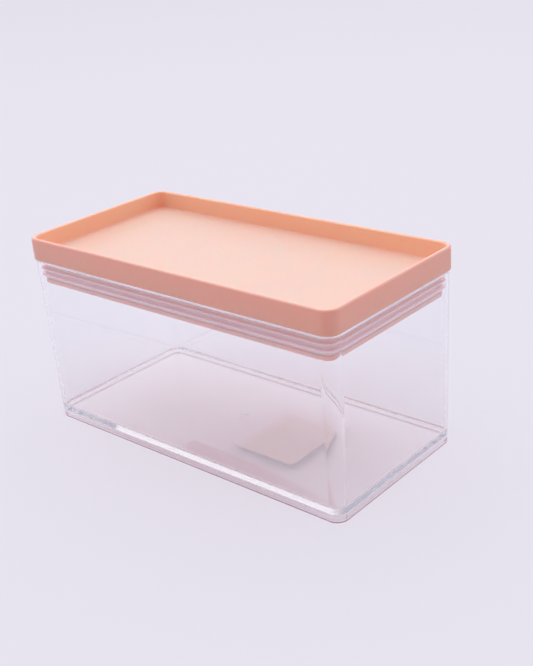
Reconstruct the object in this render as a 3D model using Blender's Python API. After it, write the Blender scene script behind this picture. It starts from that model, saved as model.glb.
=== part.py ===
"""Food storage container: a clear drafted box with a press-in lid.

The lid is two mouldings, a tray with a raised rim above a closed plug, and they trap a soft
seal with two fins between them. A blank label sits under the floor. The long side lies along
X, the short side along Y, and the foot stands on Z = 0. Lengths are in metres. The lid's
pieces are built in the lid's own frame, whose origin is at the middle of the underside of
the rim, on the line along which the lid lifts off.
"""

import math

import bmesh
import bpy

# Clear box
BODY_LENGTH = 0.199
BODY_WIDTH = 0.097
BODY_HEIGHT = 0.0922
BODY_DRAFT = 0.00125
BODY_WALL = 0.0022
BODY_CORNER_RADIUS = 0.0075
MOUTH_ROUND = 0.0006
FLOOR_THICKNESS = 0.0027
FLOOR_FILLET = 0.0018
FLOOR_CROWN = 0.0010
FOOT_HEIGHT = 0.0036
FOOT_WIDTH = 0.0024
FOOT_ROUND = 0.0006
GATE_DIAMETER = 0.0050
GATE_DEPTH = 0.0004

# Lid tray with its raised rim
LID_OVERHANG = 0.0005
LID_HEIGHT = 0.0123
LID_CORNER_RADIUS = 0.0070
RIM_WALL = 0.0023
RIM_ROUND = 0.0010
LID_LOWER_ROUND = 0.0011
TRAY_DEPTH = 0.0095
TRAY_FLOOR_THICKNESS = 0.0022
TRAY_FILLET = 0.0008
LOCATING_RIB_DEPTH = 0.0020
LOCATING_RIB_WALL = 0.0014

# Plug under the tray
PLUG_CLEARANCE = 0.0022
PLUG_DEPTH = 0.0129
PLUG_CORNER_RADIUS = 0.0037
PLUG_WALL = 0.0018
PLUG_FLOOR_THICKNESS = 0.0018
PLUG_LIP_HEIGHT = 0.0024
PLUG_ROUND = 0.0006

# Soft seal round the plug
SEAL_ROOT = 0.0014
FIN_THICKNESS = 0.0010
FIN_TIP_THICKNESS = 0.0005
FIN_SWEEP = 0.0005
FIN_DROP_SHARES = (0.48, 0.81)

# Label under the floor
LABEL_LENGTH = 0.0400
LABEL_WIDTH = 0.0460
LABEL_THICKNESS = 0.0003
LABEL_CORNER_RADIUS = 0.0025
LABEL_SHIFT_X = 0.0323
LABEL_SHIFT_Y = -0.0010

# Fits
SEAT_GAP = 0.0003
FIN_CLEARANCE = 0.0003
CUT_OVERRUN = 0.0010
SMALLEST_RADIUS = 0.0005
LEVEL_TOLERANCE = 0.00005

# Resolution of the round stretches
CORNER_SEGMENTS = 8
EDGE_SEGMENTS = 3
GATE_SEGMENTS = 24
CROWN_RING_SHARES = (0.85, 0.65, 0.42, 0.20)
SHARP_ANGLE = math.radians(32.0)

# Heights above the table, and heights above the underside of the rim for the lid
FLOOR_TOP = FOOT_HEIGHT + FLOOR_THICKNESS
LID_BOTTOM = BODY_HEIGHT + SEAT_GAP
TRAY_FLOOR = LID_HEIGHT - TRAY_DEPTH
TRAY_UNDERSIDE = TRAY_FLOOR - TRAY_FLOOR_THICKNESS
PLUG_TOP = -SEAT_GAP
PLUG_BOTTOM = -PLUG_DEPTH
PLUG_LIP_TOP = PLUG_BOTTOM + PLUG_LIP_HEIGHT
SEAL_TOP = -SEAT_GAP
SEAL_BOTTOM = PLUG_LIP_TOP + SEAT_GAP
SEAL_HEIGHT = SEAL_TOP - SEAL_BOTTOM

# Outlines that follow from the sizes above
LID_LENGTH = BODY_LENGTH + 2 * LID_OVERHANG
LID_WIDTH = BODY_WIDTH + 2 * LID_OVERHANG
PLUG_LENGTH = BODY_LENGTH - 2 * (BODY_WALL + PLUG_CLEARANCE)
PLUG_WIDTH = BODY_WIDTH - 2 * (BODY_WALL + PLUG_CLEARANCE)
GROOVE_DEPTH = SEAL_ROOT + SEAT_GAP
PAN_INSET = GROOVE_DEPTH + PLUG_WALL
RIB_INSET = PAN_INSET + SEAT_GAP
FOOT_INNER_LENGTH = BODY_LENGTH - 2 * (BODY_DRAFT + FOOT_WIDTH)
FOOT_INNER_WIDTH = BODY_WIDTH - 2 * (BODY_DRAFT + FOOT_WIDTH)


def remove_old_objects():
    """Empty the scene."""
    for item in list(bpy.data.objects):
        bpy.data.objects.remove(item, do_unlink=True)


def add_collection(name):
    """Add a collection to the scene."""
    collection = bpy.data.collections.new(name)
    bpy.context.scene.collection.children.link(collection)
    return collection


def add_material(name, colour, roughness, transmission=0.0):
    """Make a Principled material of one colour."""
    material = bpy.data.materials.new(name)
    material.use_nodes = True
    shader = material.node_tree.nodes["Principled BSDF"]
    shader.inputs["Base Color"].default_value = (*colour, 1.0)
    shader.inputs["Roughness"].default_value = roughness
    shader.inputs["Metallic"].default_value = 0.0
    shader.inputs["Transmission Weight"].default_value = transmission
    return material


def rounded_block(length, width, low, high, corner_radius):
    """Make a box from low to high, centred on Z, with rounded upright corners."""
    bm = bmesh.new()
    bmesh.ops.create_cube(bm, size=1.0)
    bmesh.ops.scale(bm, vec=(length, width, high - low), verts=bm.verts)
    bmesh.ops.translate(bm, vec=(0.0, 0.0, (low + high) / 2), verts=bm.verts)
    upright = [edge for edge in bm.edges if edge.verts[0].co.xy == edge.verts[1].co.xy]
    radius = max(corner_radius, SMALLEST_RADIUS)
    bmesh.ops.bevel(bm, geom=upright, offset=radius, segments=CORNER_SEGMENTS, profile=0.5, affect="EDGES")
    bm.normal_update()
    return bm


def level_face(bm, height):
    """Return the largest level face at a height."""
    level = [face for face in bm.faces if abs(face.normal.z) > math.cos(SHARP_ANGLE)]
    gap = min(abs(face.calc_center_median().z - height) for face in level)
    nearest = [face for face in level if abs(face.calc_center_median().z - height) <= gap + LEVEL_TOLERANCE]
    return max(nearest, key=lambda face: face.calc_area())


def round_edges(bm, edges, radius):
    """Round a loop of edges."""
    bmesh.ops.bevel(bm, geom=list(edges), offset=radius, segments=EDGE_SEGMENTS, profile=0.5, affect="EDGES")
    bm.normal_update()


def step_face(bm, face, inset, rise):
    """Draw a level face in by inset and move it by rise; return the loop left at its old height."""
    bmesh.ops.inset_region(bm, faces=[face], thickness=inset, use_even_offset=True, use_boundary=True)
    loop = list(face.edges)
    extruded = bmesh.ops.extrude_face_region(bm, geom=[face])
    moved = [item for item in extruded["geom"] if isinstance(item, bmesh.types.BMVert)]
    bmesh.ops.translate(bm, vec=(0.0, 0.0, rise), verts=moved)
    bmesh.ops.delete(bm, geom=[face], context="FACES_ONLY")
    bm.normal_update()
    return loop


def crown_rise(x, y):
    """Return how far the floor is crowned at a point, above its edge."""
    along = 1.0 - (2 * x / FOOT_INNER_LENGTH) ** 2
    across = 1.0 - (2 * y / FOOT_INNER_WIDTH) ** 2
    return FLOOR_CROWN * max(along, 0.0) * max(across, 0.0)


def crown_face(bm, face, centre_x=0.0, centre_y=0.0):
    """Split a level face into nested rings that follow the crown of the floor."""
    level = face.calc_center_median().z
    outline = [vert.co.xy for vert in face.verts]
    lift_ring(face, outline, 1.0, level, centre_x, centre_y)
    for share in CROWN_RING_SHARES:
        bmesh.ops.inset_individual(bm, faces=[face], thickness=0.0)
        lift_ring(face, outline, share, level, centre_x, centre_y)
    middle = bmesh.ops.poke(bm, faces=[face])["verts"]
    for vert in middle:
        vert.co.z = level + crown_rise(centre_x, centre_y)


def lift_ring(face, outline, share, level, centre_x, centre_y):
    """Shrink a face to a share of its outline and raise each of its points to the crown."""
    for vert, place in zip(face.verts, outline):
        vert.co.xy = place * share
        vert.co.z = level + crown_rise(centre_x + vert.co.x, centre_y + vert.co.y)


def draft_at(height):
    """Return how far the walls of the box are drawn in at a height, from their outline at the mouth."""
    return BODY_DRAFT * (BODY_HEIGHT - height) / BODY_HEIGHT


def draw_in(bm):
    """Give the upright walls of the box their draft."""
    for vert in bm.verts:
        inset = draft_at(vert.co.z)
        vert.co.x -= math.copysign(inset, vert.co.x)
        vert.co.y -= math.copysign(inset, vert.co.y)


def finish(bm, name, material, collection, parent=None):
    """Turn a built mesh into a named object."""
    bmesh.ops.recalc_face_normals(bm, faces=bm.faces)
    mesh = bpy.data.meshes.new(name)
    bm.to_mesh(mesh)
    bm.free()
    mesh.materials.append(material)
    mesh.shade_smooth()
    mesh.set_sharp_from_angle(angle=SHARP_ANGLE)
    piece = bpy.data.objects.new(name, mesh)
    collection.objects.link(piece)
    piece.parent = parent
    return piece


def make_tool(bm, name, material, collection, parent=None):
    """Turn a built mesh into a hidden tool for a Boolean."""
    tool = finish(bm, name, material, collection, parent)
    tool.display_type = "WIRE"
    tool.hide_render = True
    return tool


def combine(piece, tool, operation):
    """Join a tool to a piece or cut it out."""
    modifier = piece.modifiers.new(tool.name, "BOOLEAN")
    modifier.operation = operation
    modifier.solver = "EXACT"
    modifier.object = tool


def build_container(material, parts, cutters):
    """Build the clear box: drafted walls, a crowned floor and a foot round its edge."""
    bm = rounded_block(BODY_LENGTH, BODY_WIDTH, 0.0, BODY_HEIGHT, BODY_CORNER_RADIUS)
    round_edges(bm, level_face(bm, BODY_HEIGHT).edges, MOUTH_ROUND)
    mouth_inset = BODY_WALL - MOUTH_ROUND
    mouth = step_face(bm, level_face(bm, BODY_HEIGHT), mouth_inset, FLOOR_TOP - BODY_HEIGHT)
    round_edges(bm, mouth, MOUTH_ROUND)
    round_edges(bm, level_face(bm, FLOOR_TOP).edges, FLOOR_FILLET)
    round_edges(bm, level_face(bm, 0.0).edges, FOOT_ROUND)
    foot_inset = FOOT_WIDTH - FOOT_ROUND
    step_face(bm, level_face(bm, 0.0), foot_inset, FOOT_HEIGHT)
    crown_face(bm, level_face(bm, FLOOR_TOP))
    crown_face(bm, level_face(bm, FOOT_HEIGHT))
    draw_in(bm)
    container = finish(bm, "container", material, parts)

    gate_low = FOOT_HEIGHT - CUT_OVERRUN
    gate_high = FOOT_HEIGHT + FLOOR_CROWN + GATE_DEPTH
    gate = bmesh.new()
    bmesh.ops.create_cone(
        gate,
        cap_ends=True,
        segments=GATE_SEGMENTS,
        radius1=GATE_DIAMETER / 2,
        radius2=GATE_DIAMETER / 2,
        depth=gate_high - gate_low,
    )
    bmesh.ops.translate(gate, vec=(0.0, 0.0, (gate_low + gate_high) / 2), verts=gate.verts)
    combine(container, make_tool(gate, "gate_mark_cut", material, cutters), "DIFFERENCE")
    return container


def build_lid_tray(material, parts, cutters, lid_frame):
    """Build the upper moulding: a rim round a shallow tray, with a locating rib below."""
    bm = rounded_block(LID_LENGTH, LID_WIDTH, 0.0, LID_HEIGHT, LID_CORNER_RADIUS)
    round_edges(bm, level_face(bm, LID_HEIGHT).edges, RIM_ROUND)
    brim = step_face(bm, level_face(bm, LID_HEIGHT), RIM_WALL - RIM_ROUND, -TRAY_DEPTH)
    round_edges(bm, brim, RIM_ROUND)
    round_edges(bm, level_face(bm, TRAY_FLOOR).edges, TRAY_FILLET)
    round_edges(bm, level_face(bm, 0.0).edges, LID_LOWER_ROUND)
    tray = finish(bm, "lid_tray", material, parts, lid_frame)

    rib_radius = PLUG_CORNER_RADIUS - RIB_INSET
    rib = rounded_block(
        PLUG_LENGTH - 2 * RIB_INSET,
        PLUG_WIDTH - 2 * RIB_INSET,
        -LOCATING_RIB_DEPTH,
        TRAY_UNDERSIDE / 2,
        rib_radius,
    )
    combine(tray, make_tool(rib, "locating_rib", material, cutters, lid_frame), "UNION")
    hollow_inset = RIB_INSET + LOCATING_RIB_WALL
    hollow = rounded_block(
        PLUG_LENGTH - 2 * hollow_inset,
        PLUG_WIDTH - 2 * hollow_inset,
        -LOCATING_RIB_DEPTH - CUT_OVERRUN,
        TRAY_UNDERSIDE,
        PLUG_CORNER_RADIUS - hollow_inset,
    )
    combine(tray, make_tool(hollow, "tray_underside_cut", material, cutters, lid_frame), "DIFFERENCE")
    return tray


def build_lid_plug(material, parts, cutters, lid_frame):
    """Build the lower moulding: a closed pan with a lip that holds the seal up."""
    lip = rounded_block(PLUG_LENGTH, PLUG_WIDTH, PLUG_BOTTOM, PLUG_LIP_TOP, PLUG_CORNER_RADIUS)
    round_edges(lip, level_face(lip, PLUG_BOTTOM).edges, PLUG_ROUND)
    plug = finish(lip, "lid_plug", material, parts, lid_frame)

    neck = rounded_block(
        PLUG_LENGTH - 2 * GROOVE_DEPTH,
        PLUG_WIDTH - 2 * GROOVE_DEPTH,
        PLUG_BOTTOM + PLUG_FLOOR_THICKNESS / 2,
        PLUG_TOP,
        PLUG_CORNER_RADIUS - GROOVE_DEPTH,
    )
    combine(plug, make_tool(neck, "plug_neck", material, cutters, lid_frame), "UNION")
    pan = rounded_block(
        PLUG_LENGTH - 2 * PAN_INSET,
        PLUG_WIDTH - 2 * PAN_INSET,
        PLUG_BOTTOM + PLUG_FLOOR_THICKNESS,
        PLUG_TOP + CUT_OVERRUN,
        PLUG_CORNER_RADIUS - PAN_INSET,
    )
    combine(plug, make_tool(pan, "plug_pan_cut", material, cutters, lid_frame), "DIFFERENCE")
    return plug


def rounded_outline(length, width, corner_radius):
    """Return the points of a rounded rectangle, anticlockwise."""
    points = []
    for quarter, (side_x, side_y) in enumerate(((1, 1), (-1, 1), (-1, -1), (1, -1))):
        centre_x = side_x * (length / 2 - corner_radius)
        centre_y = side_y * (width / 2 - corner_radius)
        for step in range(CORNER_SEGMENTS + 1):
            angle = (quarter + step / CORNER_SEGMENTS) * math.pi / 2
            points.append((centre_x + corner_radius * math.cos(angle), centre_y + corner_radius * math.sin(angle)))
    return points


def fin_reach(height):
    """Return how far a fin stands out of the seal to stop just short of the wall of the box."""
    return PLUG_CLEARANCE - FIN_CLEARANCE - draft_at(LID_BOTTOM + height)


def seal_section():
    """Return the section of the seal: out from its root's outer face, up from the rim's underside."""
    points = [(-SEAL_ROOT, SEAL_TOP), (0.0, SEAL_TOP)]
    for share in FIN_DROP_SHARES:
        level = SEAL_TOP - share * SEAL_HEIGHT
        tip = level + FIN_SWEEP
        reach = fin_reach(tip)
        points.append((0.0, level + FIN_THICKNESS / 2))
        points.append((reach, tip + FIN_TIP_THICKNESS / 2))
        points.append((reach, tip - FIN_TIP_THICKNESS / 2))
        points.append((0.0, level - FIN_THICKNESS / 2))
    points += [(0.0, SEAL_BOTTOM), (-SEAL_ROOT, SEAL_BOTTOM)]
    return points


def add_poly_curve(name, points, dimensions, collection):
    """Add a closed curve through the points."""
    curve = bpy.data.curves.new(name, "CURVE")
    curve.dimensions = dimensions
    spline = curve.splines.new("POLY")
    spline.points.add(len(points) - 1)
    for target, (x, y) in zip(spline.points, points):
        target.co = (x, y, 0.0, 1.0)
    spline.use_cyclic_u = True
    item = bpy.data.objects.new(name, curve)
    collection.objects.link(item)
    return item


def build_lid_gasket(material, parts, cutters, lid_frame):
    """Build the soft seal: its section swept round the plug."""
    section = add_poly_curve("seal_section", seal_section(), "2D", cutters)
    section.display_type = "WIRE"
    section.hide_render = True
    outline = rounded_outline(PLUG_LENGTH, PLUG_WIDTH, PLUG_CORNER_RADIUS)
    gasket = add_poly_curve("lid_gasket", outline, "3D", parts)
    gasket.data.twist_mode = "Z_UP"
    gasket.data.bevel_mode = "OBJECT"
    gasket.data.bevel_object = section
    gasket.data.materials.append(material)
    gasket.parent = lid_frame
    return gasket


def build_base_label(material, parts):
    """Build the thin label that follows the underside of the floor."""
    high = FOOT_HEIGHT - SEAT_GAP
    low = high - LABEL_THICKNESS
    bm = rounded_block(LABEL_LENGTH, LABEL_WIDTH, low, high, LABEL_CORNER_RADIUS)
    crown_face(bm, level_face(bm, high), LABEL_SHIFT_X, LABEL_SHIFT_Y)
    crown_face(bm, level_face(bm, low), LABEL_SHIFT_X, LABEL_SHIFT_Y)
    label = finish(bm, "base_label", material, parts)
    label.location = (LABEL_SHIFT_X, LABEL_SHIFT_Y, 0.0)
    return label


def main():
    """Build the container, its lid and its label."""
    remove_old_objects()
    parts = add_collection("food_storage_container")
    cutters = add_collection("cutters")
    clear_plastic = add_material("clear_plastic", (0.96, 0.97, 0.98), 0.03, transmission=1.0)
    peach_tray = add_material("peach_tray", (0.86, 0.42, 0.27), 0.35)
    peach_plug = add_material("peach_plug", (0.80, 0.38, 0.27), 0.40)
    silicone = add_material("silicone", (0.72, 0.55, 0.60), 0.55)
    label_paper = add_material("label_paper", (0.74, 0.66, 0.60), 0.80)

    lid_frame = bpy.data.objects.new("lid_frame", None)
    lid_frame.location = (0.0, 0.0, LID_BOTTOM)
    parts.objects.link(lid_frame)

    build_container(clear_plastic, parts, cutters)
    build_base_label(label_paper, parts)
    build_lid_tray(peach_tray, parts, cutters, lid_frame)
    build_lid_plug(peach_plug, parts, cutters, lid_frame)
    build_lid_gasket(silicone, parts, cutters, lid_frame)


if __name__ == "__main__":
    main()
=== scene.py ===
"""Looks of a clear food storage box with a press-in tray lid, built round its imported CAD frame.

The long side lies along X, the short side along Y, and the box stands on Z = 0. Lengths are in
metres. Every piece is a smooth closed skin: a rounded section is carried round a rounded
rectangle, and each point keeps the true direction of the surface there.
"""

import logging
import math
from dataclasses import dataclass, field
from enum import Enum
from functools import partial

import bmesh
import bpy
from mathutils import Matrix, Vector


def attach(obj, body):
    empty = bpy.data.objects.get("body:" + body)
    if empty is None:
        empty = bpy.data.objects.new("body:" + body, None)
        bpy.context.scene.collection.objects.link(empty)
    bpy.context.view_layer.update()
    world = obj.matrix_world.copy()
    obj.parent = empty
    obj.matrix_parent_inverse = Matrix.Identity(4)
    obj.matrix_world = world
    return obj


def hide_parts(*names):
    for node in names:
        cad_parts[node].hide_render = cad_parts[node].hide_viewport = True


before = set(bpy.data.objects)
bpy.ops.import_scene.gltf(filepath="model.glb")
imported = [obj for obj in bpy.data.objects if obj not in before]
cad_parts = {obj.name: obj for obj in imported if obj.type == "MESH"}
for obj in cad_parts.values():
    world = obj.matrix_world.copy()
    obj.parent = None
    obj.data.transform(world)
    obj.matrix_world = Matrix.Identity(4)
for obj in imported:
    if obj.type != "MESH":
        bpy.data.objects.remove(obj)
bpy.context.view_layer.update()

LOG = logging.getLogger("storage_box")
SMALLEST_CORNER = 0.0006
BLACK = (0.0, 0.0, 0.0, 1.0)

Colour = tuple[float, float, float, float]
Triple = tuple[float, float, float]
Span = tuple[float, float]
Section = list[tuple[Vector, Vector]]
Socket = bpy.types.NodeSocket
Outputs = bpy.types.bpy_prop_collection
Node = bpy.types.Node
NodeTree = bpy.types.NodeTree
Material = bpy.types.Material
Thing = bpy.types.Object


class Body(Enum):
    """The two CAD bodies that pieces ride on."""

    BOX = "box"
    LID = "lid"


class Slot(Enum):
    """The record's material slots."""

    CLEAR_PLASTIC = "clear_plastic"
    PEACH_TRAY = "peach_tray"
    PEACH_PLUG = "peach_plug"
    SILICONE = "silicone"
    LABEL_PAPER = "label_paper"


class Side(Enum):
    """The way in which a closing face of a skin looks."""

    UP = 1.0
    DOWN = -1.0


@dataclass(frozen=True)
class Bend:
    """A corner of a section before it is rounded.

    inset is how far it lies inside the outline, height is its level, radius is its rounding and
    steps is how many flats the rounding has.
    """

    inset: float
    height: float
    radius: float = 0.0
    steps: int = 6


def rounded_section(bends: list[Bend]) -> Section:
    """Round every bend of an open section that runs with the solid on its left.

    Args:
        bends: The corners in order; the first and the last are plain ends.

    Returns:
        For each point its inset and height, and the way in which the section runs there.
    """
    places = [Vector((bend.inset, bend.height)) for bend in bends]
    ways = [(b - a).normalized() for a, b in zip(places, places[1:])]
    points = [(places[0], ways[0])]
    for bend, place, before, after in zip(bends[1:-1], places[1:-1], ways, ways[1:]):
        turn = before.angle_signed(after)
        start = place - before * bend.radius * math.tan(abs(turn) / 2)
        centre = start + Vector((before.y, -before.x)) * math.copysign(bend.radius, turn)
        for step in range(bend.steps + 1):
            spin = Matrix.Rotation(-turn * step / bend.steps, 2)
            points.append((centre + spin @ (start - centre), spin @ before))
    points.append((places[-1], ways[-1]))
    return points


@dataclass(frozen=True)
class Outline:
    """A rounded rectangle seen from above, which a section is carried round."""

    length: float
    width: float
    corner_radius: float
    corner_steps: int = 24
    long_steps: int = 1
    short_steps: int = 1

    @property
    def corners(self) -> dict[str, object]:
        """Return the values that the outer face effect asks for."""
        reach = (self.length / 2 - self.corner_radius, self.width / 2 - self.corner_radius, 1.0)
        return {"straight_reach": reach, "corner_radius": self.corner_radius}

    def ring(self, inset: float) -> list[tuple[Vector, Vector]]:
        """Place the points of one level ring.

        Args:
            inset: How far the ring lies inside the outline.

        Returns:
            For each point its place and the outward direction, both level, anticlockwise.
        """
        radius = max(self.corner_radius - inset, SMALLEST_CORNER)
        reach_x = self.length / 2 - inset - radius
        reach_y = self.width / 2 - inset - radius
        signs = ((1, 1), (-1, 1), (-1, -1), (1, -1))
        points: list[tuple[Vector, Vector]] = []
        for quarter, (side_x, side_y) in enumerate(signs):
            centre = Vector((side_x * reach_x, side_y * reach_y))
            for step in range(self.corner_steps + 1):
                angle = (quarter + step / self.corner_steps) * math.pi / 2
                outward = Vector((math.cos(angle), math.sin(angle)))
                points.append((centre + outward * radius, outward))
            next_x, next_y = signs[(quarter + 1) % 4]
            last_place, last_outward = points[-1]
            next_place = Vector((next_x * reach_x, next_y * reach_y)) + last_outward * radius
            stations = self.long_steps if next_x != side_x else self.short_steps
            for station in range(1, stations):
                points.append((last_place.lerp(next_place, station / stations), last_outward))
        return points


@dataclass(frozen=True)
class Crown:
    """The gentle rise of a moulded floor towards its middle."""

    length: float
    width: float
    rise: float
    slope_step: float = 0.0001

    def __call__(self, x: float, y: float) -> float:
        """Return the rise at a point."""
        along, across = 1.0 - (2 * x / self.length) ** 2, 1.0 - (2 * y / self.width) ** 2
        return self.rise * max(along, 0.0) * max(across, 0.0)

    def normal(self, x: float, y: float, side: Side) -> Vector:
        """Find the direction in which the crowned face looks at a point.

        Args:
            x: The point's place along the box.
            y: Its place across the box.
            side: Whether the face looks up or down.

        Returns:
            The direction, one long.
        """
        step = self.slope_step
        slope_x = (self(x + step, y) - self(x - step, y)) / (2 * step)
        slope_y = (self(x, y + step) - self(x, y - step)) / (2 * step)
        return Vector((-slope_x, -slope_y, 1.0)).normalized() * side.value


LEVEL = Crown(1.0, 1.0, 0.0)


@dataclass
class Skin:
    """A mesh under construction, with the true surface direction at each point."""

    outline: Outline
    places: list[Vector] = field(default_factory=list)
    normals: list[Vector] = field(default_factory=list)
    faces: list[tuple[int, ...]] = field(default_factory=list)
    last_ring: list[int] = field(default_factory=list)
    first_ring: list[int] = field(default_factory=list)

    def join_rings(self, ring: list[int], other: list[int]) -> None:
        """Join two rings of points with a band of faces."""
        self.faces += zip(ring, ring[1:] + ring[:1], other[1:] + other[:1], other)

    def add_ring(self, places: list[Vector], normals: list[Vector]) -> None:
        """Add a ring of points and join it to the ring before.

        Args:
            places: The points, anticlockwise seen from above.
            normals: The surface direction at each.
        """
        start = len(self.places)
        ring = list(range(start, start + len(places)))
        self.places += places
        self.normals += normals
        if self.last_ring:
            self.join_rings(self.last_ring, ring)
        else:
            self.first_ring = ring
        self.last_ring = ring

    def carry(self, section: Section) -> None:
        """Carry a section round the outline, ring by ring.

        Args:
            section: The places and ways of its points.
        """
        for (inset, height), way in section:
            ring = self.outline.ring(inset)
            normals = [Vector((*(outward * way.y), way.x)).normalized() for _, outward in ring]
            self.add_ring([Vector((*place, height)) for place, _ in ring], normals)

    def draw_to_middle(self, shares: list[float], level: float, side: Side, crown: Crown = LEVEL) -> None:
        """Fill in a level or crowned face with shrinking copies of the last ring.

        Args:
            shares: The sizes of the copies as shares of the ring, falling.
            level: The height of the face's edge.
            side: The way the face looks.
            crown: Its rise.
        """
        base = [self.places[index] for index in self.last_ring]
        for share in shares:
            spots = [(place.x * share, place.y * share) for place in base]
            places = [Vector((x, y, level + crown(x, y))) for x, y in spots]
            self.add_ring(places, [crown.normal(x, y, side) for x, y in spots])

    def close(self, height: float, side: Side) -> None:
        """Close the last ring with a fan about a middle point.

        Args:
            height: The height of the middle point.
            side: The way the face looks.
        """
        ring = self.last_ring
        middle = len(self.places)
        self.places.append(Vector((0.0, 0.0, height)))
        self.normals.append(Vector((0.0, 0.0, side.value)))
        self.faces += [(here, after, middle) for here, after in zip(ring, ring[1:] + ring[:1])]

    def cap(self, ring: list[int], copies: int, level: float, side: Side, crown: Crown = LEVEL) -> None:
        """Close a ring with a level or crowned face.

        Args:
            ring: The edge of the face.
            copies: How many shrinking copies of the ring lie in the face.
            level: The height of its edge.
            side: The way the face looks.
            crown: Its rise.
        """
        self.last_ring = list(ring)
        self.draw_to_middle(even_shares(copies), level, side, crown)
        self.close(level + crown(0.0, 0.0), side)

    def to_object(self, name: str, lift: float = 0.0) -> Thing:
        """Make the Blender object.

        Args:
            name: The piece's name.
            lift: How far the whole skin is raised.

        Returns:
            The new object, linked to the scene.
        """
        shift = Vector((0.0, 0.0, lift))
        mesh = bpy.data.meshes.new(name)
        mesh.from_pydata([place + shift for place in self.places], [], self.faces)
        work = bmesh.new()
        work.from_mesh(mesh)
        bmesh.ops.recalc_face_normals(work, faces=work.faces)
        work.to_mesh(mesh)
        work.free()
        mesh.shade_smooth()
        mesh.normals_split_custom_set_from_vertices(self.normals)
        mesh.validate()
        return add_object(name, mesh)


def even_shares(count: int) -> list[float]:
    """Return falling shares from just under one to just over zero."""
    return [1.0 - step / (count + 1) for step in range(1, count + 1)]


def add_object(name: str, data: bpy.types.ID) -> Thing:
    """Add an object to the scene.

    Args:
        name: The object's name.
        data: The mesh, lamp or camera that it shows.

    Returns:
        The object.
    """
    thing = bpy.data.objects.new(name, data)
    bpy.context.scene.collection.objects.link(thing)
    return thing


@dataclass
class Wiring:
    """A node tree with short ways to add and join nodes."""

    tree: NodeTree

    def add(self, kind: str, **settings: object) -> Node:
        """Add a node.

        Args:
            kind: The node's type.
            settings: Properties to set on it.

        Returns:
            The node.
        """
        node = self.tree.nodes.new(kind)
        for key, value in settings.items():
            setattr(node, key, value)
        return node

    def feed(self, target: Socket, value: object) -> None:
        """Link a socket to a target, or give the target a plain value.

        Args:
            target: The input to feed.
            value: A socket or a value.
        """
        if isinstance(value, Socket):
            self.tree.links.new(value, target)
        else:
            target.default_value = value

    def fill(self, node: Node, **values: object) -> None:
        """Feed inputs of a node by name, with underscores for spaces."""
        for key, value in values.items():
            self.feed(node.inputs[key.replace("_", " ")], value)

    def run(self, kind: str, *given: object, **settings: object) -> Outputs:
        """Add a node, feed its first inputs in order and return its outputs.

        Args:
            kind: The node's type.
            given: Sockets or values, or None for an input that is left as it is.
            settings: Properties to set on the node.

        Returns:
            The outputs.
        """
        node = self.add(kind, **settings)
        for target, value in zip(node.inputs, given):
            if value is not None:
                self.feed(target, value)
        return node.outputs

    def coordinates(self) -> Socket:
        """Return the piece's own coordinates."""
        return self.run("ShaderNodeTexCoord")["Object"]

    def part(self, vector: Socket, axis: str) -> Socket:
        """Return one of the three numbers of a vector."""
        return self.run("ShaderNodeSeparateXYZ", vector)[axis]

    def math(self, operation: str, *values: object, clamp: bool = False) -> Socket:
        """Work through two or more sockets or numbers with Math nodes.

        Args:
            operation: The sum to do.
            values: Sockets or numbers, taken from the first to the last.
            clamp: Whether each result is kept between zero and one.

        Returns:
            The last result.
        """
        total = values[0]
        for value in values[1:]:
            total = self.run("ShaderNodeMath", total, value, operation=operation, use_clamp=clamp)["Value"]
        return total

    def weigh(self, *products: tuple[object, ...]) -> Socket:
        """Return the sum of several products of sockets or numbers."""
        return self.math("ADD", *(self.math("MULTIPLY", *factors) for factors in products))

    def vector_math(self, operation: str, *given: object) -> Outputs:
        """Return the outputs of a Vector Math node."""
        return self.run("ShaderNodeVectorMath", *given, operation=operation)

    def remap(self, value: Socket, span: Span, to: Span = (0.0, 1.0), smooth: bool = True) -> Socket:
        """Return a number mapped from one span to another, and no further."""
        kind = "SMOOTHSTEP" if smooth else "LINEAR"
        return self.run("ShaderNodeMapRange", value, *span, *to, interpolation_type=kind)["Result"]

    def noise(self, place: Socket, scale: object, detail: float = 2.0) -> Socket:
        """Return a noise with some finer layers in it."""
        return self.run("ShaderNodeTexNoise", place, None, scale, detail)["Fac"]

    def streaks(self, scale: Triple, turn: Triple = (0.0, 0.0, 0.0), detail: float = 2.0) -> Socket:
        """Return a noise that is stretched along turned axes."""
        place = self.run("ShaderNodeMapping", self.coordinates(), None, turn, scale)["Vector"]
        return self.noise(place, 1.0, detail)

    def mix_colour(self, share: object, first: object, second: object, blend: str = "MIX") -> Socket:
        """Return a mix of two colours, each a socket or a value."""
        given = (share, *[None] * 5, first, second)
        return self.run("ShaderNodeMix", *given, data_type="RGBA", blend_type=blend)[2]

    def bump(self, height: Socket, depth: float) -> Socket:
        """Return the surface direction of a height, where one stands for a depth in metres."""
        return self.run("ShaderNodeBump", 1.0, depth, None, height)["Normal"]

    def show_both(self, share: Socket, shader: Socket, other: Socket) -> None:
        """Show a share of another shader over the first on the surface."""
        both = self.run("ShaderNodeMixShader", share, shader, other)["Shader"]
        self.feed(self.tree.nodes["Material Output"].inputs["Surface"], both)


class GroupSocket(Enum):
    """Kinds of socket on a node group."""

    NUMBER = "NodeSocketFloat"
    COLOUR = "NodeSocketColor"
    VECTOR = "NodeSocketVector"


NUMBER, COLOUR, VECTOR = GroupSocket


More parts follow.
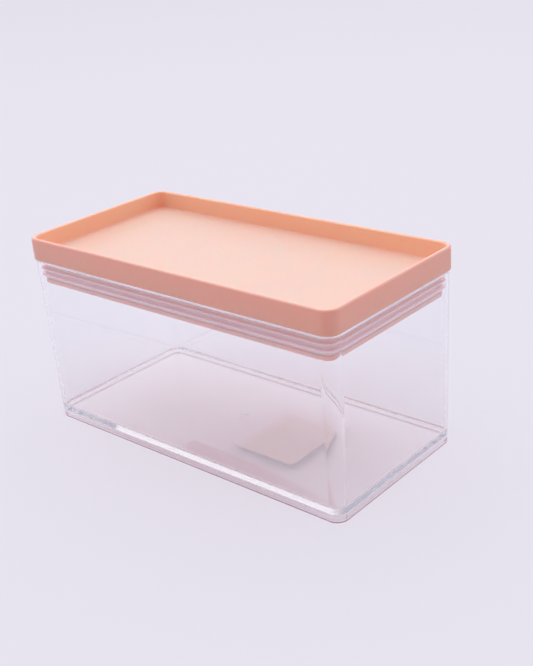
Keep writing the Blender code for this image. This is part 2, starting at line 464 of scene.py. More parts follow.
class Group(Wiring):
    """A shader node group while it is being wired."""

    def __init__(self, name: str, inputs: dict[str, GroupSocket], outputs: dict[str, GroupSocket]) -> None:
        """Start the group.

        Args:
            name: The group's name.
            inputs: The kinds of its inputs by name.
            outputs: The kinds of its outputs by name.
        """
        super().__init__(bpy.data.node_groups.new(name, "ShaderNodeTree"))
        for in_out, sockets in (("INPUT", inputs), ("OUTPUT", outputs)):
            for label, kind in sockets.items():
                self.tree.interface.new_socket(label, in_out=in_out, socket_type=kind.value)
        self.given = list(self.run("NodeGroupInput"))[:len(inputs)]

    def finish(self, **values: Socket) -> NodeTree:
        """Feed the outputs and return the group."""
        self.fill(self.add("NodeGroupOutput"), **values)
        return self.tree


class Effects:
    """The effects that several materials share, each one node group that is built once."""

    COARSE_PART = 0.25
    COARSE_SPAN = (0.35, 0.65)
    FLECKS_TO_A_CLOUD = 14.0
    FLECK_PART = 0.4
    CLOUD_SPAN = (0.35, 0.68)
    FLECK_SPAN = (0.30, 0.75)
    UPWARD_SPAN = (0.80, 0.98)
    SHEEN_SCALE = 45.0
    SHEEN_SPAN = (0.25, 0.75)
    SHEEN_LEVELS = (0.75, 1.0)
    SPECK_SCALE = 110.0
    SPECK_SPAN = (0.020, 0.045)
    CELLS_WITHOUT_SPECK = 0.86
    WIPE_SCALE = (9.0, 70.0, 70.0)
    WIPE_TURN = (0.2, 0.5, 0.35)
    WIPE_SPAN = (0.50, 0.78)
    HAIR_SCALE = (12.0, 900.0, 900.0)
    HAIR_TURN = (0.9, 0.3, 1.1)
    HAIR_SPAN = (0.74, 0.80)
    PATCH_SCALE = 30.0
    PATCH_SPAN = (0.50, 0.62)
    WEAR_SCALE = 260.0
    WEAR_SPAN = (0.30, 0.70)
    WEAR_LEVELS = (0.6, 1.0)
    FLAT_UNDERSIDE = 0.00003
    WAVE_SCALE = 22.0

    def __init__(self) -> None:
        """Build every group."""
        self.grain = self.build_grain()
        self.mottle = self.build_mottle()
        self.settled_dust = self.build_settled_dust()
        self.handling_marks = self.build_handling_marks()
        self.outer_face = self.build_outer_face()

    def place(self, net: Wiring, group: NodeTree, finish: object, **values: object) -> dict[str, Socket]:
        """Place a group in a material and feed each input from the field of the same name.

        Args:
            net: The material's wiring.
            group: The group.
            finish: The finish that holds the fields.
            values: What feeds the other inputs.

        Returns:
            The outputs of the group node by name.
        """
        node = net.add("ShaderNodeGroup", node_tree=group)
        settings = vars(finish) | values
        for socket in node.inputs:
            net.feed(socket, settings[socket.name.lower().replace(" ", "_")])
        return dict(node.outputs.items())

    def build_grain(self) -> NodeTree:
        """Build the fine sparked grain of a matt mould: an even pebble with a coarser one in it.

        Returns:
            The group.
        """
        inputs = {"Grain Size": NUMBER, "Roughness Low": NUMBER, "Roughness High": NUMBER}
        net = Group("mould_grain", inputs, {"Height": NUMBER, "Roughness": NUMBER})
        size, low, high = net.given
        place = net.coordinates()
        pebble = net.noise(place, net.math("DIVIDE", 1.0, size), detail=3.0)
        coarse = net.noise(place, net.math("DIVIDE", self.COARSE_PART, size), detail=1.0)
        share = net.remap(coarse, self.COARSE_SPAN)
        return net.finish(
            Height=net.weigh((pebble, 1.0 - self.COARSE_PART), (coarse, self.COARSE_PART)),
            Roughness=net.weigh((low,), (share, net.math("SUBTRACT", high, low))),
        )

    def build_mottle(self) -> NodeTree:
        """Build the soft unevenness of a moulded colour, in clouds and flecks.

        Returns:
            The group.
        """
        inputs = {"Base": COLOUR, "Deeper": COLOUR, "Cloud Size": NUMBER, "Amount": NUMBER}
        net = Group("colour_mottle", inputs, {"Colour": COLOUR})
        base, deeper, size, amount = net.given
        place = net.coordinates()
        slow = net.noise(place, net.math("DIVIDE", 1.0, size), detail=2.0)
        fine = net.noise(place, net.math("DIVIDE", self.FLECKS_TO_A_CLOUD, size), detail=3.0)
        clouds = net.remap(slow, self.CLOUD_SPAN)
        flecks = net.remap(fine, self.FLECK_SPAN)
        both = net.weigh((clouds, 1.0 - self.FLECK_PART), (flecks, self.FLECK_PART))
        share = net.math("MULTIPLY", both, amount, clamp=True)
        return net.finish(Colour=net.mix_colour(share, base, deeper))

    def build_settled_dust(self) -> NodeTree:
        """Build the stray dust specks that settle on faces that look up, and a painted pale sheen on those
        faces that stands for the reflection of the bright surround.

        Returns:
            The group.
        """
        inputs = {"Colour": COLOUR, "Bloom Colour": COLOUR, "Bloom": NUMBER}
        inputs |= {"Speck Colour": COLOUR, "Specks": NUMBER}
        net = Group("settled_dust", inputs, {"Colour": COLOUR})
        colour, bloom_colour, bloom, speck_colour, specks = net.given
        place = net.coordinates()
        facing = net.run("ShaderNodeNewGeometry")["Normal"]
        upward = net.remap(net.part(facing, "Z"), self.UPWARD_SPAN)
        cloud = net.noise(place, self.SHEEN_SCALE, detail=3.0)
        cloud = net.remap(cloud, self.SHEEN_SPAN, self.SHEEN_LEVELS, smooth=False)
        cells = net.run("ShaderNodeTexVoronoi", place, None, self.SPECK_SCALE)
        near = net.remap(cells["Distance"], self.SPECK_SPAN, (1.0, 0.0))
        draw = net.part(cells["Color"], "X")
        chosen = net.math("GREATER_THAN", draw, self.CELLS_WITHOUT_SPECK)
        # Painted sheen: a mottled pale colour on upward faces, standing for the reflection of the bright
        # surround.
        sheened_colour = net.mix_colour(net.math("MULTIPLY", upward, cloud, bloom, clamp=True), colour, bloom_colour)
        speck = net.math("MULTIPLY", near, chosen, specks, upward, clamp=True)
        return net.finish(Colour=net.mix_colour(speck, sheened_colour, speck_colour))

    def build_handling_marks(self) -> NodeTree:
        """Build wiped smears, fine hairlines and worn edges, which roughen a polished piece.

        Returns:
            The group.
        """
        inputs = ("Polish", "Smear", "Hairline", "Scuff", "Scuff Height")
        inputs += ("Edge Matt", "Top Edge", "Bottom Edge")
        outputs = ("Roughness", "Height", "Top Mask", "Bottom Mask")
        net = Group("handling_marks", dict.fromkeys(inputs, NUMBER), dict.fromkeys(outputs, NUMBER))
        polish, smear, hairline, scuff, scuff_height, edge_matt, top_edge, bottom_edge = net.given
        place = net.coordinates()
        smears = net.remap(net.streaks(self.WIPE_SCALE, self.WIPE_TURN, detail=4.0), self.WIPE_SPAN)
        hairs = net.remap(net.streaks(self.HAIR_SCALE, self.HAIR_TURN, detail=1.0), self.HAIR_SPAN)
        patch = net.remap(net.noise(place, self.PATCH_SCALE, detail=1.0), self.PATCH_SPAN)
        wear = net.noise(place, self.WEAR_SCALE, detail=3.0)
        wear = net.remap(wear, self.WEAR_SPAN, self.WEAR_LEVELS, smooth=False)
        height = net.part(place, "Z")
        worn = net.math("LESS_THAN", height, scuff_height)
        top = net.math("GREATER_THAN", height, top_edge)
        low = net.math("LESS_THAN", height, bottom_edge)
        bottom = net.math("MULTIPLY", low, net.math("GREATER_THAN", height, self.FLAT_UNDERSIDE))
        rough = net.weigh(
            (polish,),
            (smears, smear),
            (hairs, patch, hairline),
            (worn, wear, scuff),
            (net.math("MAXIMUM", top, bottom), edge_matt),
        )
        wave = net.noise(place, self.WAVE_SCALE, detail=1.0)
        return net.finish(Roughness=rough, Height=wave, Top_Mask=top, Bottom_Mask=bottom)

    def build_outer_face(self) -> NodeTree:
        """Build the change of colour from the inside of a rounded rectangle to its outer faces.

        Returns:
            The group.
        """
        inputs = {"Colour": COLOUR, "Outer Tint": COLOUR, "Straight Reach": VECTOR}
        inputs |= {"Corner Radius": NUMBER, "Inset": NUMBER, "Softness": NUMBER}
        net = Group("outer_face", inputs, {"Colour": COLOUR})
        colour, tint, reach, radius, inset, softness = net.given
        mirrored = net.vector_math("ABSOLUTE", net.coordinates())["Vector"]
        beyond = net.vector_math("SUBTRACT", mirrored, reach)["Vector"]
        beyond = net.vector_math("MAXIMUM", beyond, (0.0, 0.0, 0.0))["Vector"]
        depth = net.math("SUBTRACT", radius, net.vector_math("LENGTH", beyond)["Value"])
        past = net.math("SUBTRACT", inset, depth)
        share = net.math("ADD", net.math("DIVIDE", past, softness), 0.5, clamp=True)
        tinted = net.mix_colour(1.0, colour, tint, blend="MULTIPLY")
        return net.finish(Colour=net.mix_colour(share, colour, tinted))


def new_material(name: str) -> tuple[Material, Wiring, Node]:
    """Start a material.

    Args:
        name: The material's name.

    Returns:
        The material, its wiring and its Principled shader.
    """
    material = bpy.data.materials.new(name)
    material.use_nodes = True
    return material, Wiring(material.node_tree), material.node_tree.nodes["Principled BSDF"]


def let_light_through(net: Wiring, shader: Node, colour: Colour) -> None:
    """Let lamp light and scattered light cross a thin piece without bending.

    Args:
        net: The material's wiring.
        shader: The Principled shader.
        colour: How much of the light crosses each face.
    """
    path = net.run("ShaderNodeLightPath")
    share = net.math("MAXIMUM", path["Is Shadow Ray"], path["Is Diffuse Ray"])
    net.show_both(share, shader.outputs["BSDF"], net.run("ShaderNodeBsdfTransparent", colour)["BSDF"])


@dataclass(frozen=True, kw_only=True)
class SoftMoulding:
    """A satin finish that light sinks into, whose outer faces take a tint: painted shade on the tray, a
    painted reflection on the seal's fins, and paler outer faces on the plug.
    """

    name: str
    outline: Outline
    base: Colour
    deeper: Colour
    outer_tint: Colour
    inset: float
    softness: float = 0.0006
    cloud_size: float = 0.05
    amount: float = 0.5
    roughness_low: float = 0.34
    roughness_high: float = 0.46
    grain_size: float = 0.00035
    grain_height: float = 0.000008
    refraction: float = 1.49
    glow: float = 1.0
    glow_radius: Triple = (1.25, 0.34, 0.22)
    glow_scale: float = 0.0030

    def cover(self, _net: Wiring, _effects: Effects, colour: Socket) -> Socket:
        """Return the colour as it is, with nothing on it."""
        return colour

    def build(self, effects: Effects) -> Material:
        """Build the material.

        Args:
            effects: The shared node groups.

        Returns:
            The material.
        """
        material, net, shader = new_material(self.name)
        mottled = effects.place(net, effects.mottle, self)["Colour"]
        tinted = effects.place(net, effects.outer_face, self, colour=mottled, **self.outline.corners)
        grain = effects.place(net, effects.grain, self)
        net.fill(
            shader,
            Base_Color=self.cover(net, effects, tinted["Colour"]),
            Roughness=grain["Roughness"],
            Normal=net.bump(grain["Height"], self.grain_height),
            IOR=self.refraction,
            Subsurface_Weight=self.glow,
            Subsurface_Radius=self.glow_radius,
            Subsurface_Scale=self.glow_scale,
        )
        return material


@dataclass(frozen=True, kw_only=True)
class PeachPlastic(SoftMoulding):
    """Peach plastic, with dust specks and a painted pale sheen on the faces that look up."""

    bloom_colour: Colour
    bloom: float
    specks: float
    speck_colour: Colour = (0.4, 0.3, 0.25, 1.0)

    def cover(self, net: Wiring, effects: Effects, colour: Socket) -> Socket:
        """Return the colour with the dust specks and the painted sheen on it."""
        return effects.place(net, effects.settled_dust, self, colour=colour)["Colour"]


@dataclass(frozen=True, kw_only=True)
class Silicone(SoftMoulding):
    """Milky soft silicone, with a painted pale lavender reflection on the outer part of its fins."""

    # The negative inset puts the outer tint on the outer part of the fins, beyond the plug's outline: a
    # painted reflection of the pale paper.
    inset: float = -0.0003
    softness: float = 0.0005
    cloud_size: float = 0.02
    amount: float = 0.6
    roughness_low: float = 0.42
    roughness_high: float = 0.58
    grain_size: float = 0.0005
    grain_height: float = 0.000006
    refraction: float = 1.41
    glow: float = 0.9
    glow_radius: Triple = (1.0, 0.85, 0.9)
    glow_scale: float = 0.002


@dataclass(frozen=True, kw_only=True)
class ClearPlastic:
    """Polished clear styrene with faint signs of handling, a painted glowing highlight under its mouth, and a
    darker line of painted shade round its foot.
    """

    name: str
    outline: Outline
    tint: Colour
    refraction: float = 1.59
    polish: float = 0.004
    smear: float = 0.018
    hairline: float = 0.05
    scuff: float = 0.085
    scuff_height: float = 0.0066
    edge_matt: float = 0.30
    top_edge: float = 0.0917
    bottom_edge: float = 0.0009
    # Painted highlight: the band just under the mouth gives off this light, standing for light piped through
    # the wall.
    painted_mouth_highlight: Colour = (0.15, 0.18, 0.26, 1.0)
    # Painted shade: a dark pink line on the outer face of the foot's bottom rounding, for the shade and the
    # lid's pink seen in it.
    outer_tint: Colour = (0.28, 0.07, 0.16, 1.0)
    inset: float = 0.0004
    softness: float = 0.0004
    waviness: float = 0.00002
    pass_through: Colour = (1.0, 0.988, 0.988, 1.0)

    def build(self, effects: Effects) -> Material:
        """Build the material.

        Args:
            effects: The shared node groups.

        Returns:
            The material.
        """
        material, net, shader = new_material(self.name)
        marks = effects.place(net, effects.handling_marks, self)
        outer = effects.place(net, effects.outer_face, self, colour=self.tint, **self.outline.corners)
        net.fill(
            shader,
            # Painted shade: the bottom mask darkens the outer face round the foot.
            Base_Color=net.mix_colour(marks["Bottom Mask"], self.tint, outer["Colour"]),
            Roughness=marks["Roughness"],
            Normal=net.bump(marks["Height"], self.waviness),
            IOR=self.refraction,
            Transmission_Weight=1.0,
            # Painted highlight: the top mask makes the mouth band glow.
            Emission_Color=net.mix_colour(marks["Top Mask"], BLACK, self.painted_mouth_highlight),
            Emission_Strength=1.0,
        )
        let_light_through(net, shader, self.pass_through)
        return material


@dataclass(frozen=True, kw_only=True)
class LabelPaper:
    """Blank uncoated label paper with short fibres in it, with painted light at its left and back edges,
    which face the light, so that they fade into the lit floor.
    """

    name: str
    base: Colour
    deeper: Colour
    lit_edge_colour: Colour
    left_edge: float
    back_edge: float
    lit_edge_reach: float = 0.012
    cloud_size: float = 0.018
    amount: float = 0.8
    fibre_scale: Triple = (700.0, 2600.0, 1.0)
    fibre_span: Span = (0.45, 0.75)
    fibre_shares: Span = (0.0, 0.35)
    roughness_span: Span = (0.3, 0.7)
    roughness: Span = (0.70, 0.90)
    fibre_height: float = 0.00001
    pass_through: Colour = (0.70, 0.68, 0.69, 1.0)

    def build(self, effects: Effects) -> Material:
        """Build the material.

        Args:
            effects: The shared node groups.

        Returns:
            The material.
        """
        material, net, shader = new_material(self.name)
        mottled = effects.place(net, effects.mottle, self)["Colour"]
        fibres = net.streaks(self.fibre_scale, detail=3.0)
        share = net.remap(fibres, self.fibre_span, self.fibre_shares, smooth=False)
        colour = net.mix_colour(share, mottled, self.deeper)
        place = net.coordinates()
        # Painted light: towards its left and back edges the paper fades to the colour of the lit floor around
        # it.
        left = net.remap(net.part(place, "X"), (self.left_edge, self.left_edge + self.lit_edge_reach), (1.0, 0.0))
        back = net.remap(net.part(place, "Y"), (self.back_edge - self.lit_edge_reach, self.back_edge))
        net.fill(
            shader,
            Base_Color=net.mix_colour(net.math("MAXIMUM", left, back), colour, self.lit_edge_colour),
            Roughness=net.remap(fibres, self.roughness_span, self.roughness, smooth=False),
            Normal=net.bump(fibres, self.fibre_height),
        )
        let_light_through(net, shader, self.pass_through)
        return material


def settle(piece: Thing, material: Material, node: str, body: Body) -> None:
    """Dress a piece and tie it to the CAD frame.

    Args:
        piece: The piece.
        material: Its material.
        node: The CAD node that it stands for.
        body: The body that it rides on.
    """
    piece.data.materials.append(material)
    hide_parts(node)
    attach(piece, body.value)
    LOG.info("%s: %d faces on body %s, stands for %s", piece.name, len(piece.data.polygons), body.value, node)


@dataclass
class ClearBox:
    """The clear box with its label: drafted walls, a crowned floor and a foot round its edge.

    Each lip of the gate mark is a ring: how far inwards, how deep and how far into its bend it lies.
    """

    length: float = 0.199
    width: float = 0.097
    height: float = 0.0922
    draft: float = 0.00125
    wall: float = 0.0022
    corner_radius: float = 0.0075
    mouth_round: float = 0.0006
    floor_thickness: float = 0.0027
    floor_fillet: float = 0.0018
    floor_flat: float = 0.00216
    crown: float = 0.0010
    foot_height: float = 0.0036
    foot_width: float = 0.0024
    foot_round: float = 0.0006
    foot_fillet: float = 0.0004
    gate_radius: float = 0.0025
    gate_depth: float = 0.0004
    gate_round: float = 0.0002
    gate_lean: float = 0.7
    gate_lips: tuple[Triple, ...] = (
        (-0.5, 0.0, 0.0), (0.0, 0.0, 0.0), (0.3, 0.0, 0.1), (0.7, 0.5, 0.5), (1.0, 0.9, 1.0), (1.3, 1.0, 1.0)
    )
    floor_rings: int = 14
    label_length: float = 0.0400
    label_width: float = 0.0460
    label_thickness: float = 0.0003
    label_corner_radius: float = 0.0025
    label_edge_round: float = 0.00012
    label_shift: Span = (0.0323, -0.0010)
    label_gap: float = 0.0003
    label_rings: int = 8

    @property
    def outline(self) -> Outline:
        """Return the outside of the mouth."""
        return Outline(self.length, self.width, self.corner_radius, long_steps=28, short_steps=14)

    @property
    def foot_outline(self) -> Outline:
        """Return the outside of the foot."""
        drawn = 2 * self.draft
        return Outline(self.length - drawn, self.width - drawn, self.corner_radius - self.draft)

    @property
    def floor_crown(self) -> Crown:
        """Return the rise of the floor."""
        inner = self.draft + self.foot_width
        return Crown(self.length - 2 * inner, self.width - 2 * inner, self.crown)

    def draft_at(self, height: float) -> float:
        """Return how far the walls are drawn in at a height."""
        return self.draft * (self.height - height) / self.height

    def build_shell(self) -> Thing:
        """Build the box: its underside, the foot, the walls and the floor inside.

        Returns:
            The box.
        """
        foot_inner = self.draft + self.foot_width
        floor_top = self.foot_height + self.floor_thickness
        floor_edge = self.wall + self.draft_at(floor_top)
        bends = [
            Bend(foot_inner + self.foot_fillet * 2, self.foot_height),
            Bend(foot_inner, self.foot_height, self.foot_fillet, steps=5),
            Bend(foot_inner, 0.0, self.foot_round, steps=8),
            Bend(self.draft, 0.0, self.foot_round, steps=8),
            Bend(0.0, self.height, self.mouth_round),
            Bend(self.wall, self.height, self.mouth_round),
            Bend(floor_edge, floor_top, self.floor_fillet, steps=12),
            Bend(floor_edge + self.floor_flat, floor_top),
        ]
        skin = Skin(self.outline)
        skin.carry(rounded_section(bends))
        skin.cap(skin.last_ring, self.floor_rings, floor_top, Side.UP, self.floor_crown)
        self.add_underside(skin)
        return skin.to_object("clear_box")

    def add_underside(self, skin: Skin) -> None:
        """Fill in the crowned underside, with the shallow gate mark at its middle.

        Args:
            skin: The box's skin, whose first ring is the edge of the underside.
        """
        crown = self.floor_crown
        skin.last_ring = list(skin.first_ring)
        skin.draw_to_middle(even_shares(self.floor_rings)[:-1], self.foot_height, Side.DOWN, crown)
        level = self.foot_height + crown(0.0, 0.0)
        ways = [skin.places[index].xy.normalized() for index in skin.last_ring]
        for along, deep, lean in self.gate_lips:
            radius = self.gate_radius + self.gate_round * (1.0 - 2 * along)
            height = level + self.gate_depth * deep
            tilt = -math.sin(lean * math.pi) * self.gate_lean
            normals = [Vector((*(way * tilt), -1.0)).normalized() for way in ways]
            skin.add_ring([Vector((*(way * radius), height)) for way in ways], normals)
        skin.close(level + self.gate_depth, Side.DOWN)

    def build_label(self) -> Thing:
        """Build the blank label, which follows the underside of the floor.

        Returns:
            The label.
        """
        high = self.foot_height - self.label_gap
        low = high - self.label_thickness
        flat = self.label_edge_round * 2
        edge = partial(Bend, 0.0, radius=self.label_edge_round, steps=3)
        bends = [Bend(flat, low), edge(low), edge(high), Bend(flat, high)]
        size = (self.label_length, self.label_width, self.label_corner_radius)
        skin = Skin(Outline(*size, corner_steps=10, long_steps=10, short_steps=10))
        skin.carry(rounded_section(bends))
        skin.cap(skin.last_ring, self.label_rings, high, Side.UP)
        skin.cap(skin.first_ring, self.label_rings, low, Side.DOWN)
        for place in skin.places:
            x, y = place.x + self.label_shift[0], place.y + self.label_shift[1]
            place[:] = x, y, place.z + self.floor_crown(x, y)
        return skin.to_object("blank_label")

    def build(self, clear: Material, paper: Material) -> None:
        """Build and dress the box and its label."""
        settle(self.build_shell(), clear, "container", Body.BOX)
        settle(self.build_label(), paper, "base_label", Body.BOX)


@dataclass
class PressInLid:
    """The lid: a tray with a raised rim, a closed plug below it and a soft seal between them.

    Heights are measured from the bottom of the tray's rim.
    """

    bottom: float = 0.0925
    length: float = 0.2000
    width: float = 0.0980
    height: float = 0.0123
    corner_radius: float = 0.0070
    rim_wall: float = 0.0023
    rim_round: float = 0.0010
    lower_round: float = 0.0011
    tray_floor: float = 0.0028
    tray_fillet: float = 0.0008
    tray_underside: float = 0.0006
    tray_rings: int = 6
    rib_depth: float = 0.0020
    rib_wall: float = 0.0014
    edge_round: float = 0.0003
    flat_run: float = 0.002
    hidden_rings: int = 3
    plug_length: float = 0.1902
    plug_width: float = 0.0882
    plug_corner_radius: float = 0.0037
    plug_top: float = -0.0003
    plug_bottom: float = -0.0129
    plug_wall: float = 0.0018
    plug_floor: float = 0.0018
    lip_height: float = 0.0024
    plug_round: float = 0.0006
    seal_root: float = 0.0014
    seal_round: float = 0.0002
    seat_gap: float = 0.0003
    fin_thickness: float = 0.0010
    fin_root_round: float = 0.0004
    fin_tip_thickness: float = 0.0005
    fin_sweep: float = 0.0005
    fin_clearance: float = 0.0003
    plug_clearance: float = 0.0022
    fin_drop_shares: Span = (0.48, 0.81)

    @property
    def tray_outline(self) -> Outline:
        """Return the outside of the tray."""
        return Outline(self.length, self.width, self.corner_radius, long_steps=20, short_steps=10)

    @property
    def plug_outline(self) -> Outline:
        """Return the outside of the plug."""
        size = (self.plug_length, self.plug_width, self.plug_corner_radius)
        return Outline(*size, long_steps=10, short_steps=6)

    @property
    def pan_inset(self) -> float:
        """Return how far the inside of the plug's pan lies from its outline."""
        return self.seal_root + self.seat_gap + self.plug_wall

    def build_tray(self) -> Thing:
        """Build the upper moulding, from its underside round the rim to the floor of the tray.

        Returns:
            The tray.
        """
        rib_outer = (self.length - self.plug_length) / 2 + self.pan_inset + self.seat_gap
        rib_inner = rib_outer + self.rib_wall
        fine = partial(Bend, radius=self.edge_round, steps=4)
        bends = [
            Bend(rib_inner + self.flat_run, self.tray_underside),
            fine(rib_inner, self.tray_underside),
            fine(rib_inner, -self.rib_depth),
            fine(rib_outer, -self.rib_depth),
            fine(rib_outer, 0.0),
            Bend(0.0, 0.0, self.lower_round, steps=10),
            Bend(0.0, self.height, self.rim_round, steps=10),
            Bend(self.rim_wall, self.height, self.rim_round, steps=10),
            Bend(self.rim_wall, self.tray_floor, self.tray_fillet, steps=8),
            Bend(self.rim_wall + self.flat_run, self.tray_floor),
        ]
        skin = Skin(self.tray_outline)
        skin.carry(rounded_section(bends))
        skin.cap(skin.last_ring, self.tray_rings, self.tray_floor, Side.UP)
        skin.cap(skin.first_ring, self.hidden_rings, self.tray_underside, Side.DOWN)
        return skin.to_object("tray_moulding", self.bottom)

    def build_plug(self) -> Thing:
        """Build the lower moulding: a closed pan with a lip that holds the seal up.

        Returns:
            The plug.
        """
        fine = partial(Bend, radius=self.edge_round, steps=5)
        groove = self.seal_root + self.seat_gap
        lip_top = self.plug_bottom + self.lip_height
        pan_floor = self.plug_bottom + self.plug_floor
        bends = [
            Bend(self.plug_round * 3, self.plug_bottom),
            Bend(0.0, self.plug_bottom, self.plug_round, steps=8),
            fine(0.0, lip_top),
            fine(groove, lip_top),
            fine(groove, self.plug_top),
            fine(self.pan_inset, self.plug_top),
            fine(self.pan_inset, pan_floor),
            Bend(self.pan_inset + self.flat_run, pan_floor),
        ]
        skin = Skin(self.plug_outline)
        skin.carry(rounded_section(bends))
        skin.cap(skin.last_ring, self.hidden_rings, pan_floor, Side.UP)
        skin.cap(skin.first_ring, self.hidden_rings, self.plug_bottom, Side.DOWN)
        return skin.to_object("plug_moulding", self.bottom)

    def build_seal(self, box: ClearBox) -> Thing:
        """Build the soft seal, whose two fins stop just short of the walls of the box.

        Args:
            box: The box that the seal presses into.

        Returns:
            The seal.
        """
        top = -self.seat_gap
        bottom = self.plug_bottom + self.lip_height + self.seat_gap
        edge = partial(Bend, radius=self.seal_round, steps=3)
        fin_tip = partial(Bend, radius=self.seal_round, steps=5)
        fin_root = partial(Bend, radius=self.fin_root_round, steps=5)
        bends = [Bend(self.seal_root, (top + bottom) / 2), edge(self.seal_root, bottom), edge(0.0, bottom)]
        for share in reversed(self.fin_drop_shares):
            level = top - share * (top - bottom)
            tip = level + self.fin_sweep
            reach = self.plug_clearance - self.fin_clearance - box.draft_at(self.bottom + tip)
            bends += [
                fin_root(0.0, level - self.fin_thickness / 2),
                fin_tip(-reach, tip - self.fin_tip_thickness / 2),
                fin_tip(-reach, tip + self.fin_tip_thickness / 2),
                fin_root(0.0, level + self.fin_thickness / 2),
            ]
        bends += [edge(0.0, top), edge(self.seal_root, top), bends[0]]
        skin = Skin(self.plug_outline)
        skin.carry(rounded_section(bends)[:-1])
        skin.join_rings(skin.last_ring, skin.first_ring)
        return skin.to_object("soft_seal", self.bottom)

    def build(self, box: ClearBox, tray: Material, plug: Material, silicone: Material) -> None:
        """Build and dress the three pieces of the lid.

        Args:
            box: The box that the lid presses into.
            tray: The tray's material.
            plug: The plug's material.
            silicone: The seal's material.
        """
        settle(self.build_tray(), tray, "lid_tray", Body.LID)
        settle(self.build_plug(), plug, "lid_plug", Body.LID)
        settle(self.build_seal(box), silicone, "lid_gasket", Body.LID)


@dataclass(frozen=True)
class SoftBox:
    """A soft rectangular lamp that looks at the middle of the scene."""

    name: str
    place: Triple
    size: Span
    power: float
    colour: Triple

    def build(self) -> None:
        """Add the lamp."""
        lamp = bpy.data.lights.new(self.name, "AREA")
        lamp.shape = "RECTANGLE"
        lamp.size, lamp.size_y = self.size
        lamp.energy = self.power
        lamp.color = self.colour
        holder = add_object(self.name, lamp)
        holder.location = self.place
        holder.rotation_mode = "QUATERNION"
        holder.rotation_quaternion = (-Vector(self.place)).to_track_quat("-Z", "Y")


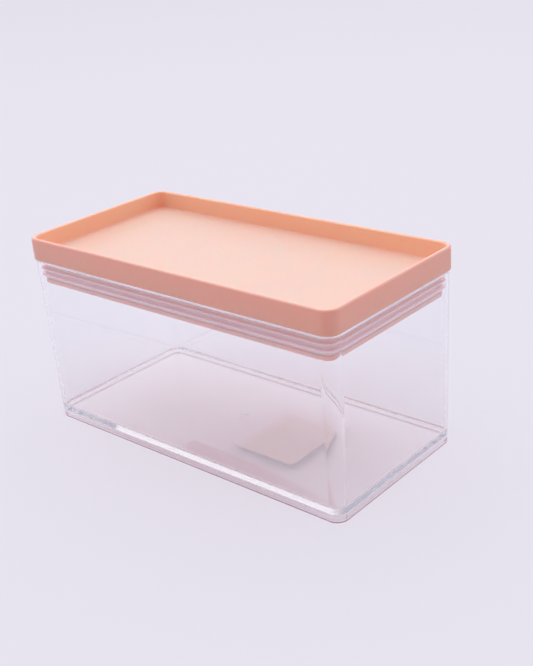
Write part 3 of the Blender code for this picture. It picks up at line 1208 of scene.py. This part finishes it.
@dataclass(frozen=True)
class Studio:
    """A pale paper floor, a soft lamp and the camera at the photograph's viewing angle."""

    paper: Colour = (0.755, 0.742, 0.80, 1.0)
    tone: Colour = (0.80, 0.775, 0.86, 1.0)
    tone_share: float = 0.75
    tooth_scale: float = 900.0
    tooth_span: Span = (0.3, 0.7)
    roughness: Span = (0.85, 0.95)
    gloss: float = 0.2
    far_tone: Colour = (0.815, 0.79, 0.885, 1.0)
    surround: Colour = (0.80, 0.785, 0.85, 1.0)
    bright_side: Triple = (-0.61, 0.67, 0.42)
    levels: Span = (0.81, 1.40)
    dim_side: Triple = (0.664, -0.728, 0.170)
    dim_span: Span = (0.56, 0.98)
    dim_share: float = 0.1
    floor_reach: float = 5.0
    floor_drop: float = 0.00002
    lamp: SoftBox = SoftBox(
        "overhead_soft",
        place=(-0.3, 0.3, 1.60),
        size=(1.8, 1.8),
        power=7.8,
        colour=(1.0, 0.985, 0.97),
    )
    camera_place: Triple = (0.34291, -0.35458, 0.26854)
    azimuth: float = 42.336
    elevation: float = 23.611
    roll: float = -4.573
    lens: float = 56.426
    sensor: float = 36.0
    sight: Span = (0.01, 50.0)
    light_bounces: int = 96

    def build_floor(self) -> None:
        """Add the paper floor, with an even tone where it is seen straight or in a reflection."""
        mesh = bpy.data.meshes.new("paper_floor")
        work = bmesh.new()
        bmesh.ops.create_grid(work, x_segments=8, y_segments=8, size=self.floor_reach)
        work.to_mesh(mesh)
        work.free()
        floor = add_object("paper_floor", mesh)
        floor.location.z = -self.floor_drop
        material, net, shader = new_material("studio_paper")
        tooth = net.noise(net.coordinates(), self.tooth_scale)
        rough = net.remap(tooth, self.tooth_span, self.roughness, smooth=False)
        net.fill(shader, Base_Color=self.paper, Roughness=rough, Specular_IOR_Level=self.gloss)
        path = net.run("ShaderNodeLightPath")
        not_through = net.math("SUBTRACT", 1.0, path["Is Transmission Ray"])
        mirrored = net.math("MULTIPLY", path["Is Glossy Ray"], not_through)
        seen = net.math("MAXIMUM", path["Is Camera Ray"], mirrored)
        tone = net.run("ShaderNodeEmission", self.tone, 1.0)["Emission"]
        net.show_both(net.math("MULTIPLY", seen, self.tone_share), shader.outputs["BSDF"], tone)
        mesh.materials.append(material)

    def build_world(self) -> None:
        """Set the pale surround, brighter on one side and dimmer on another."""
        world = bpy.data.worlds.new("pale_surround")
        world.use_nodes = True
        net = Wiring(world.node_tree)
        way = net.run("ShaderNodeTexCoord")["Generated"]
        bright = net.vector_math("DOT_PRODUCT", way, self.bright_side)["Value"]
        dim = net.vector_math("DOT_PRODUCT", way, self.dim_side)["Value"]
        level = net.remap(bright, (-1.0, 1.0), self.levels)
        shade = net.remap(dim, self.dim_span, (1.0, self.dim_share))
        seen = net.run("ShaderNodeLightPath")["Is Camera Ray"]
        lit = net.math("MULTIPLY", level, shade, net.math("SUBTRACT", 1.0, seen))
        background = world.node_tree.nodes["Background"]
        colour = net.mix_colour(seen, self.surround, self.far_tone)
        net.fill(background, Color=colour, Strength=net.math("ADD", lit, seen))
        bpy.context.scene.world = world

    def build_camera(self) -> None:
        """Add the camera."""
        camera = bpy.data.cameras.new("photo_view")
        camera.lens = self.lens
        camera.sensor_width = self.sensor
        camera.clip_start, camera.clip_end = self.sight
        azimuth, elevation = math.radians(self.azimuth), math.radians(self.elevation)
        level = math.cos(elevation)
        ahead = -Vector((math.sin(azimuth) * level, -math.cos(azimuth) * level, math.sin(elevation)))
        turn = ahead.to_track_quat("-Z", "Y").to_matrix() @ Matrix.Rotation(math.radians(self.roll), 3, "Z")
        holder = add_object("photo_view", camera)
        holder.location = self.camera_place
        holder.rotation_mode = "QUATERNION"
        holder.rotation_quaternion = turn.to_quaternion()
        bpy.context.scene.camera = holder

    def build(self) -> None:
        """Build the whole studio."""
        scene = bpy.context.scene
        scene.view_settings.view_transform = "Standard"
        for kind in ("max", "glossy", "transmission", "transparent_max"):
            setattr(scene.cycles, f"{kind}_bounces", self.light_bounces)
        self.build_floor()
        self.build_world()
        self.lamp.build()
        self.build_camera()


def main() -> None:
    """Build the studio, the box and the lid."""
    logging.basicConfig(level=logging.INFO, format="%(name)s: %(message)s")
    effects = Effects()
    box = ClearBox()
    lid = PressInLid()
    clear = ClearPlastic(name="clear_styrene", outline=box.foot_outline, tint=(0.975, 0.98, 0.98, 1.0))
    tray = PeachPlastic(
        name="peach_satin",
        outline=lid.tray_outline,
        base=(0.99, 0.62, 0.42, 1.0),
        deeper=(0.98, 0.59, 0.39, 1.0),
        # Painted sheen on the tray's upward faces, for the pale reflection of the bright surround.
        bloom_colour=(0.86, 0.575, 0.505, 1.0),
        bloom=0.80,
        specks=0.25,
        # Painted shade: the tray's outer walls are darker and bluer than its lit inside.
        outer_tint=(0.78, 0.755, 0.87, 1.0),
        inset=lid.rim_wall / 2,
    )
    plug = PeachPlastic(
        name="peach_plug_satin",
        outline=lid.plug_outline,
        base=(0.98, 0.49, 0.46, 1.0),
        deeper=(0.96, 0.46, 0.43, 1.0),
        bloom_colour=(0.85, 0.55, 0.45, 1.0),
        bloom=0.1,
        specks=0.0,
        outer_tint=(1.0, 1.11, 1.08, 1.0),
        inset=lid.plug_round,
    )
    silicone = Silicone(
        name="milky_silicone",
        outline=lid.plug_outline,
        base=(1.0, 0.69, 0.68, 1.0),
        deeper=(0.99, 0.63, 0.62, 1.0),
        # Painted reflection: the fin tips are made paler and bluer.
        outer_tint=(0.97, 1.01, 1.11, 1.0),
    )
    paper = LabelPaper(
        name="label_stock",
        base=(0.72, 0.63, 0.635, 1.0),
        deeper=(0.69, 0.60, 0.605, 1.0),
        # Painted light: the colour that the lit left and back edges fade to.
        lit_edge_colour=(0.78, 0.73, 0.80, 1.0),
        left_edge=box.label_shift[0] - box.label_length / 2,
        back_edge=box.label_shift[1] + box.label_width / 2,
    )
    box.build(clear.build(effects), paper.build(effects))
    lid.build(box, tray.build(effects), plug.build(effects), silicone.build(effects))
    Studio().build()


if __name__ == "__main__":
    main()
